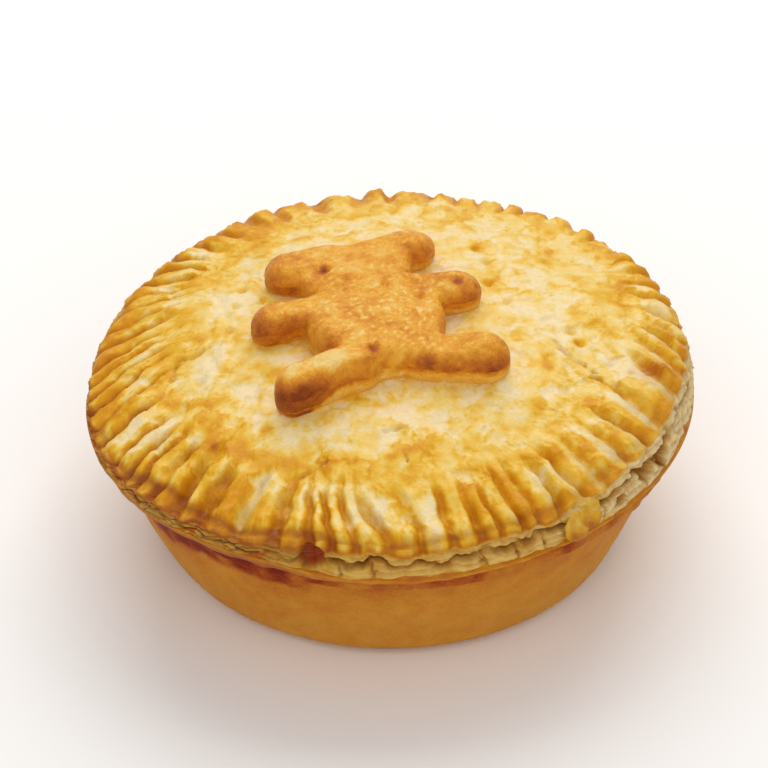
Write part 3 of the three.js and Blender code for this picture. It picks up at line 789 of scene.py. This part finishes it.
def case_bumps(angle, wall, rings):
    """How far the case stands out from its plain form, which its flat foot keeps."""
    height = wall[:, 2]
    belly = np.tile(around(angle, WALL_BELLIES), rings)
    bumps = belly * np.sin(math.pi * np.clip(height / WALL_HEIGHT, 0, 1))
    bumps += 0.16 * rough(wall, 8, 201, 2) + 0.08 * rough(wall, 2.2, 211)
    bumps += ease(WALL_HEIGHT - 1, WALL_HEIGHT + 1, height) * (0.25 * rough(wall, 3, 221) - 0.15)
    return ease(0.2, 4.0, height) * bumps


def case_bake(points):
    """How far the case is browned, most in the band below its rim, and darker towards its top as painted
    shade.
    """
    height = points[:, 2]
    turn = np.arctan2(points[:, 1], points[:, 0])
    wander = rough(points * [1, 1, 0.3], 5, 231)
    browning = around(turn, RIM_BROWNING)
    line = CASE_TOP - around(turn, RIM_BANDS) + 1.4 * wander
    rim = ease(line - 1.3, line + 0.5, height) * (0.15 + 0.85 * browning)
    patchy = np.clip(0.7 + 1.2 * rough(points * [1, 1, 0.3], 7, 236, 2), 0.1, 1.3)
    rim *= lerp(patchy, 1.0, ease(0.6, 0.9, browning))
    blush = ease(WALL_HEIGHT - 8, WALL_HEIGHT + 1, height) * browning * (0.5 + 0.5 * wander)
    bake = 0.3 - 0.05 * np.cos(turn) + 0.1 * rough(points, 14, 241, 2) + 0.06 * rough(points, 4, 246, 2)
    bake += 0.55 * rim * (0.85 + 0.6 * wander) + 0.2 * blush
    # Darker towards the top and paler at the foot: painted shade under the lid's overhang.
    return bake + (0.2 * ease(4, 24, height) - 0.09)


def make_case(material):
    angle = even_angles(CASE_COLUMNS)
    profile = case_profile()
    wall = np.vstack([ring(angle, radius, height) for radius, height in profile])
    outward = wall * [1, 1, 0] / np.hypot(wall[:, 0], wall[:, 1])[:, None]
    wall = wall + outward * case_bumps(angle, wall, len(profile))[:, None]
    points = np.vstack([(0, 0, 0), wall, (0, 0, CASE_TOP)])
    counts = [1] + [CASE_COLUMNS] * len(profile) + [1]
    piece = add_piece("case_crust", points, ring_faces(counts), {"bake": case_bake(points)}, material)
    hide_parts("case")


# Bear


def smooth_min(a, b):
    overlap = np.maximum(BEAR_BLEND - np.abs(a - b), 0) / BEAR_BLEND
    return np.minimum(a, b) - overlap**2 * BEAR_BLEND / 4


def bear_distance(u, v):
    """Signed distance to the bear's outline in its own plan."""
    parts = []
    for centre, half in BEAR_ELLIPSES:
        x, y = u - centre[0], v - centre[1]
        scaled = np.hypot(x / half[0], y / half[1])
        slope = np.hypot(x / half[0] ** 2, y / half[1] ** 2)
        parts.append(scaled * (scaled - 1) / np.maximum(slope, 1e-6))
    for start, end, radius in BEAR_LIMBS:
        parts.append(segment_distance(u, v, start, end) - radius)
    total = parts[0]
    for part in parts[1:]:
        total = smooth_min(total, part)
    return total


def bear_normal(u, v):
    step = 0.02
    slope_u = bear_distance(u + step, v) - bear_distance(u - step, v)
    slope_v = bear_distance(u, v + step) - bear_distance(u, v - step)
    size = np.maximum(np.hypot(slope_u, slope_v), 1e-9)
    return slope_u / size, slope_v / size


def bear_on_lid(u, v):
    cosine, sine = math.cos(BEAR_TURN), math.sin(BEAR_TURN)
    lean = u + BEAR_LEAN * v
    return BEAR_PLACE[0] + lean * cosine - v * sine, BEAR_PLACE[1] + lean * sine + v * cosine


# The bear's rounded shoulder: its width, the share of the thickness where it starts, and how far inside the
# outline the sheet of the top and the rings round it lie
SHOULDER = 2.6
SHOULDER_RISE = 0.54
SHEET_INSET = 0.9
SHOULDER_INSETS = (0.68, 0.48, 0.3, 0.16, 0.06, 0.0)
# Swellings of the body and limbs, and dips with a minus: place, size, rise
BEAR_KNOBS = [
    ((11.4, 17.4), 3.8, 0.9), ((16.6, 2), 3.6, 0.7), ((17.4, -18), 3.8, 0.9), ((-11.6, 16.6), 4.2, 0.5),
    ((-17, 2.2), 4, 0.5), ((11, -15.6), 3, -0.9), ((8.8, 3.2), 2.6, -0.8), ((4.5, 17.5), 3, -0.7),
    ((-7.5, 9.5), 3, -0.8), ((0, -7), 7, 0.4), ((-9.5, 1.5), 2.6, -0.6), ((-6.5, -15), 2.6, -0.5)
]
# Dimples in the bear: place, size, darkness
BEAR_DIMPLES = [((3.4, 3.6), 0.9, 0.12), ((8.9, -1.6), 0.9, 0.2), ((-5.7, 12.1), 1, 0.5),
                ((-2.4, -15.2), 1, 0.55), ((16.6, 0.8), 1.1, 0.45), ((-2.8, 7.1), 0.7, 0.1)]


def limb_ends(u, v):
    ends = [np.hypot(u - end[0], v - end[1]) for _, end, _ in BEAR_LIMBS]
    return bell(np.min(ends, axis=0), 4.5)


def leg_front_shade(u, v):
    """Where the sides of the legs face the front, to be darkened there as painted shade."""
    normal_u, normal_v = bear_normal(u, v)
    ahead = normal_u * math.sin(BEAR_TURN) + normal_v * math.cos(BEAR_TURN)
    return ease(-0.1, -0.8, ahead) * ease(-11, -15, v) * ease(2, 6, np.abs(u))


def bear_skin(u, v, inset):
    """Height above the lid and browning of the bear's top and shoulders."""
    share = np.clip(inset / SHOULDER, 0, 1)
    profile = SHOULDER_RISE + (1 - SHOULDER_RISE) * np.sqrt(1 - (1 - share) ** 2)
    ends = limb_ends(u, v)
    legs = lerp(LEFT_LEG_THICKNESS, RIGHT_LEG_THICKNESS, ease(-12, 6, u))
    height = lerp(legs, HEAD_THICKNESS, ease(-16, 6, v)) * profile - 0.6
    for (du, dv), size, rise in BEAR_KNOBS:
        height += rise * share * bell(np.hypot(u - du, v - dv), size)
    solid = spots(u, v, height)
    height += share * (0.25 * rough(solid, 5, 301) + 0.1 * rough(solid, 1.6, 311, 2))
    height += 0.08 * rough(solid, 0.8, 316, 1)
    bake = 0.38 + 0.2 * rough(solid, 6, 321) + 0.13 * rough(solid, 1.6, 331, 2)
    bake += (0.12 + 0.2 * ease(0, -8, u)) * ends * (1 - 0.8 * share)
    bake -= 0.38 * ease(-4, -9, u) * ease(-11, -15, v) * share
    # Darker shoulders: browned, and painted shade on the legs' front sides.
    bake += (0.1 + 0.12 * ends + 0.2 * leg_front_shade(u, v)) * (1 - share) ** 1.6
    # Painted highlight: pale specks that stand for glints on the crust.
    painted_glints = 0.5 + 0.5 * bell(np.hypot(u - 3, v + 6), 11)
    bake -= 0.7 * painted_glints * np.clip(rough(solid, 1.0, 336, 2) - 0.12, 0, 0.6) * share
    for (du, dv), size, dark in BEAR_DIMPLES:
        near = np.hypot(u - du, v - dv)
        height -= 0.7 * bell(near, size)
        bake += dark * bell(near, size * 1.2)
    return height, bake


def onto_contour(u, v, inset):
    """The points, moved to the line that is inset millimetres inside the outline."""
    for _ in range(4):
        normal_u, normal_v = bear_normal(u, v)
        off = bear_distance(u, v) + inset
        u, v = u - normal_u * off, v - normal_v * off
    return u, v


def bear_sheet():
    """Grid of points inside the outline, its quads and the loop of its edge, counterclockwise."""
    across = np.arange(-24, 24, BEAR_SPACING)
    along = np.arange(-26, 25, BEAR_SPACING)
    u, v = (grid.ravel() for grid in np.meshgrid(across, along))
    keep = bear_distance(u, v) + SHEET_INSET < 0.5 * BEAR_SPACING
    corner = np.arange(len(u)).reshape(len(along), len(across))
    quads = np.stack([corner[:-1, :-1], corner[:-1, 1:], corner[1:, 1:], corner[1:, :-1]], -1).reshape(-1, 4)
    quads = quads[keep[quads].all(axis=1)]
    used = np.unique(quads)
    number = np.full(len(u), -1)
    number[used] = np.arange(len(used))
    quads = number[quads]
    edges = np.vstack([quads[:, [k, (k + 1) % 4]] for k in range(4)])
    pairs = set(map(tuple, edges))
    following = {a: b for a, b in pairs if (b, a) not in pairs}
    loop = [min(following)]
    while following[loop[-1]] != loop[0]:
        loop.append(following[loop[-1]])
    u, v, loop = u[used], v[used], np.array(loop)
    u[loop], v[loop] = onto_contour(u[loop], v[loop], SHEET_INSET)
    return u, v, quads, loop


def bear_wall(u, v, normal_u, normal_v, rise):
    """Points in plan, height and browning of one ring of the bear's side."""
    solid = spots(u, v, 9.0 * rise)
    wave = rough(spots(u, v, 3.0), 5, 341, 2)
    tuck = 0.6 * ease(0.3, 0.0, rise)
    reach = SHEET_INSET - tuck + 0.14 * rough(solid, 2.2, 351)
    split = bell(rise - 0.2 - 0.04 * wave, 0.02) * ease(-8, -14, u) * ease(-10, -16, v)
    reach -= 0.25 * split
    ring_u = u + normal_u * reach
    ring_v = v + normal_v * reach
    top_height, _ = bear_skin(ring_u, ring_v, np.zeros(len(u)))
    height = lerp(-BEAR_SINK, top_height, rise / SHOULDER_RISE)
    end = ease(4, -10, u) * limb_ends(u, v)
    pale_leg = ease(-14, -8, u) * ease(-8, -14, v)
    shown = rise - 0.12 * pale_leg + 0.07 * wave + 0.06 * rough(solid, 2, 361)
    crust = ease(0.2 - 0.24 * end, 0.42 - 0.3 * end, shown)
    # The side is browned, and darker on the legs' front sides as painted shade.
    dark = 0.48 + 0.1 * limb_ends(u, v) + 0.24 * end + 0.17 * leg_front_shade(u, v) + 0.14 * rough(solid, 2.6, 371)
    bake = lerp(0.22 + 0.14 * rough(solid, 2, 381), dark, crust) - 0.4 * split
    return ring_u, ring_v, height, bake


def bear_side(u, v):
    """Rings from the sheet's edge over the shoulder and down: plan, height and browning."""
    normal_u, normal_v = bear_normal(u, v)
    for inset in SHOULDER_INSETS:
        ring_u = u + normal_u * (SHEET_INSET - inset)
        ring_v = v + normal_v * (SHEET_INSET - inset)
        yield (ring_u, ring_v, *bear_skin(ring_u, ring_v, np.full(len(u), inset)))
    for rise in np.linspace(SHOULDER_RISE, 0, BEAR_WALL_RINGS + 1)[1:]:
        yield bear_wall(u, v, normal_u, normal_v, rise)


def make_bear(material):
    u, v, quads, loop = bear_sheet()
    inner = np.setdiff1d(np.arange(len(u)), loop)
    sides = list(bear_side(u[loop], v[loop]))
    top = (u, v, *bear_skin(u, v, -bear_distance(u, v)))
    under = (u[inner], v[inner], np.full(len(inner), -BEAR_SINK), np.full(len(inner), 0.1))
    points, bakes = [], []
    for part_u, part_v, height, bake in [top, *sides, under]:
        x, y = bear_on_lid(part_u, part_v)
        points.append(spots(x, y, lid_top(x, y) + height))
        bakes.append(bake)

    faces = quads.tolist()
    last, start = loop, len(u)
    for _ in sides:
        following = np.arange(start, start + len(loop))
        faces += np.column_stack([last, following, np.roll(following, -1), np.roll(last, -1)]).tolist()
        last, start = following, start + len(loop)
    below = np.full(len(u), -1)
    below[loop] = last
    below[inner] = start + np.arange(len(inner))
    faces += below[quads[:, ::-1]].tolist()

    looks = {"bake": np.hstack(bakes)}
    piece = add_piece("bear_pastry", np.vstack(points), faces, looks, material)
    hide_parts("bear")


# Materials


def linear(red, green, blue):
    """Screen colour, 0 to 255, as linear light."""
    shares = (channel / 255 for channel in (red, green, blue))
    return tuple(c / 12.92 if c <= 0.04045 else ((c + 0.055) / 1.055) ** 2.4 for c in shares) + (1.0,)


class Nodes:
    """A material's nodes, with short calls for those that pastry needs."""

    def __init__(self, name):
        self.material = bpy.data.materials.new(name)
        self.material.use_nodes = True
        self.tree = self.material.node_tree
        self.shader = self.tree.nodes["Principled BSDF"]
        self.place = self.tree.nodes.new("ShaderNodeTexCoord").outputs["Object"]

    def put(self, inputs, values):
        """Sets inputs by name or number, to a value or another node's output."""
        for key, value in values.items():
            if isinstance(value, bpy.types.NodeSocket):
                self.tree.links.new(value, inputs[key])
            else:
                inputs[key].default_value = value

    def add(self, kind, values):
        node = self.tree.nodes.new("ShaderNode" + kind)
        self.put(node.inputs, values)
        return node

    def look(self, name):
        node = self.add("Attribute", {})
        node.attribute_name = name
        return node.outputs["Fac"]

    def noise(self, size_mm, detail):
        values = {"Scale": 1 / (size_mm * MM), "Detail": detail, "Vector": self.place}
        return self.add("TexNoise", values).outputs["Fac"]

    def math(self, operation, first, second):
        node = self.add("Math", {0: first, 1: second})
        node.operation = operation
        return node.outputs[0]

    def vary(self, value, size_mm, amount, detail=3.0):
        """The value, raised or lowered by noise."""
        noise = self.math("SUBTRACT", self.noise(size_mm, detail), 0.5)
        swing = self.math("MULTIPLY", noise, amount)
        return self.math("ADD", value, swing)

    def ramp(self, value, stops):
        node = self.add("ValToRGB", {"Fac": value})
        elements = node.color_ramp.elements
        while len(elements) < len(stops):
            elements.new(0.5)
        for element, (position, colour) in zip(elements, stops):
            element.position = position
            element.color = linear(*colour)
        return node.outputs["Color"]

    def mix(self, share, first, second):
        """Two colours mixed. A mix node has its colours at inputs 6 and 7 and output 2."""
        node = self.add("Mix", {})
        node.data_type = "RGBA"
        self.put(node.inputs, {0: share, 6: first, 7: second})
        return node.outputs[2]

    def span(self, value, low, high):
        return self.add("MapRange", {"Value": value, "To Min": low, "To Max": high}).outputs["Result"]

    def bump(self, height, depth_mm):
        values = {"Strength": 1.0, "Distance": depth_mm * MM, "Height": height}
        return self.add("Bump", values).outputs["Normal"]

    def finish(self, colour, roughness, shine, normal):
        values = {"Base Color": colour, "Roughness": roughness, "Specular IOR Level": shine, "Normal": normal}
        self.put(self.shader.inputs, values)
        return self.material


def lid_material():
    n = Nodes("puff_pastry")
    gold = n.vary(n.look("gold"), 1.6, 0.28)
    gold = n.vary(gold, 0.5, 0.18)
    crust = n.ramp(gold, [(0, (244, 222, 172)), (0.2, (242, 208, 114)), (0.4, (235, 184, 48)),
                          (0.6, (224, 156, 14)), (0.8, (208, 134, 10)), (1, (186, 108, 14))])
    raw = n.vary(n.look("raw"), 0.8, 0.3)
    crumb = n.ramp(raw, [(0.4, (198, 158, 80)), (0.8, (212, 178, 108)), (1, (228, 206, 152))])
    colour = n.mix(raw, crust, crumb)
    # The brown colour is browning, and in crevices, hollows, cracks, creases and grooves it is also painted
    # shade.
    colour = n.mix(n.vary(n.look("brown"), 0.9, 0.3), colour, linear(168, 86, 18))
    colour = n.mix(n.look("leak"), colour, linear(172, 60, 20))
    # Painted shade: this dark olive colour darkens crevices, hollows, gaps, cracks, the parts under the ridge
    # tips and the curled lip, and a little of the flap.
    colour = n.mix(n.vary(n.look("shade"), 0.7, 0.2), colour, linear(106, 70, 24))
    normal = n.bump(n.noise(0.45, 4.0), 0.12)
    return n.finish(colour, n.span(raw, 0.36, 0.75), 0.2, normal)


def baked_material(name, grains, stops, bump_mm, roughness, shine):
    """Pastry coloured by its baking. Each grain has a size, an amount and a detail."""
    n = Nodes(name)
    bake = n.look("bake")
    for grain in grains:
        bake = n.vary(bake, *grain)
    normal = n.bump(n.noise(0.5, 4.0), bump_mm)
    return n.finish(n.ramp(bake, stops), n.span(bake, *roughness), shine, normal)


def bear_material():
    stops = [(0, (243, 208, 126)), (0.3, (239, 174, 54)), (0.5, (222, 142, 34)), (0.72, (188, 102, 26)),
             (1, (136, 58, 16))]
    return baked_material("bear_pastry", [(1.1, 0.22, 4.0), (0.4, 0.24)], stops, 0.34, (0.42, 0.36), 0.2)


def case_material():
    stops = [(0, (212, 154, 60)), (0.35, (198, 129, 40)), (0.6, (178, 98, 31)), (0.85, (150, 58, 14)),
             (1, (126, 40, 10))]
    return baked_material("shortcrust", [(3.0, 0.34), (0.6, 0.36)], stops, 0.16, (0.6, 0.5), 0.06)


# Stage

CAMERA_TARGET = Vector((0, 0, 26.7)) * MM
CAMERA_DISTANCE = 520 * MM
CAMERA_TILT = math.radians(37.35)
FOCAL_PIXELS = 2865.5
TARGET_PIXEL = (390.7, 389.2)
IMAGE_SIZE = 768
SENSOR = 36.0
# Lights: place, size, power, colour
KEY_LIGHT = ((0.03, 0.52, 0.68), 0.8, 4.8, (1.0, 0.97, 0.92))
FILL_LIGHT = ((0.0, -0.6, 0.5), 0.8, 1.9, (1.0, 0.98, 0.96))
AMBIENT_COLOUR = (1.0, 0.99, 0.97, 1)
AMBIENT_STRENGTH = 0.48
FLOOR_CORNERS = [(-3, -3, 0), (3, -3, 0), (3, 3, 0), (-3, 3, 0)]
FLOOR_COLOUR = (0.98, 0.98, 0.98, 1)


def make_camera():
    camera = add_object("camera", bpy.data.cameras.new("camera"))
    back = Vector((0, -math.cos(CAMERA_TILT), math.sin(CAMERA_TILT)))
    camera.location = CAMERA_TARGET + back * CAMERA_DISTANCE
    camera.rotation_euler = (math.pi / 2 - CAMERA_TILT, 0, 0)
    camera.data.sensor_width = SENSOR
    camera.data.lens = FOCAL_PIXELS / IMAGE_SIZE * SENSOR
    camera.data.shift_x = (IMAGE_SIZE / 2 - TARGET_PIXEL[0]) / IMAGE_SIZE
    camera.data.shift_y = (TARGET_PIXEL[1] - IMAGE_SIZE / 2) / IMAGE_SIZE
    camera.data.clip_start = 0.01
    bpy.context.scene.camera = camera


def add_area_light(name, place, size, power, colour):
    light = bpy.data.lights.new(name, "AREA")
    light.size = size
    light.energy = power
    light.color = colour
    lamp = add_object(name, light)
    lamp.location = place
    lamp.rotation_euler = (CAMERA_TARGET - Vector(place)).to_track_quat("-Z", "Y").to_euler()


def make_stage():
    world = bpy.data.worlds.new("studio")
    world.use_nodes = True
    ambient = world.node_tree.nodes["Background"].inputs
    ambient["Color"].default_value = AMBIENT_COLOUR
    ambient["Strength"].default_value = AMBIENT_STRENGTH
    bpy.context.scene.world = world
    add_area_light("key", *KEY_LIGHT)
    add_area_light("fill", *FILL_LIGHT)

    mesh = bpy.data.meshes.new("floor")
    mesh.from_pydata(FLOOR_CORNERS, [], [(0, 1, 2, 3)])
    paper = bpy.data.materials.new("pale_floor")
    paper.use_nodes = True
    surface = paper.node_tree.nodes["Principled BSDF"].inputs
    surface["Base Color"].default_value = FLOOR_COLOUR
    surface["Roughness"].default_value = 0.9
    mesh.materials.append(paper)
    floor = add_object("floor", mesh)
    floor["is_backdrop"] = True
    bpy.context.scene.view_settings.view_transform = "Standard"


make_camera()
make_stage()
make_case(case_material())
pastry = lid_material()
make_lid(pastry)
make_flap(pastry)
make_bear(bear_material())

boxes = {"cad": CAD_BOX, "visual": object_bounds()}
{name: [list(map(float, corner)) for corner in box] for name, box in boxes.items()}
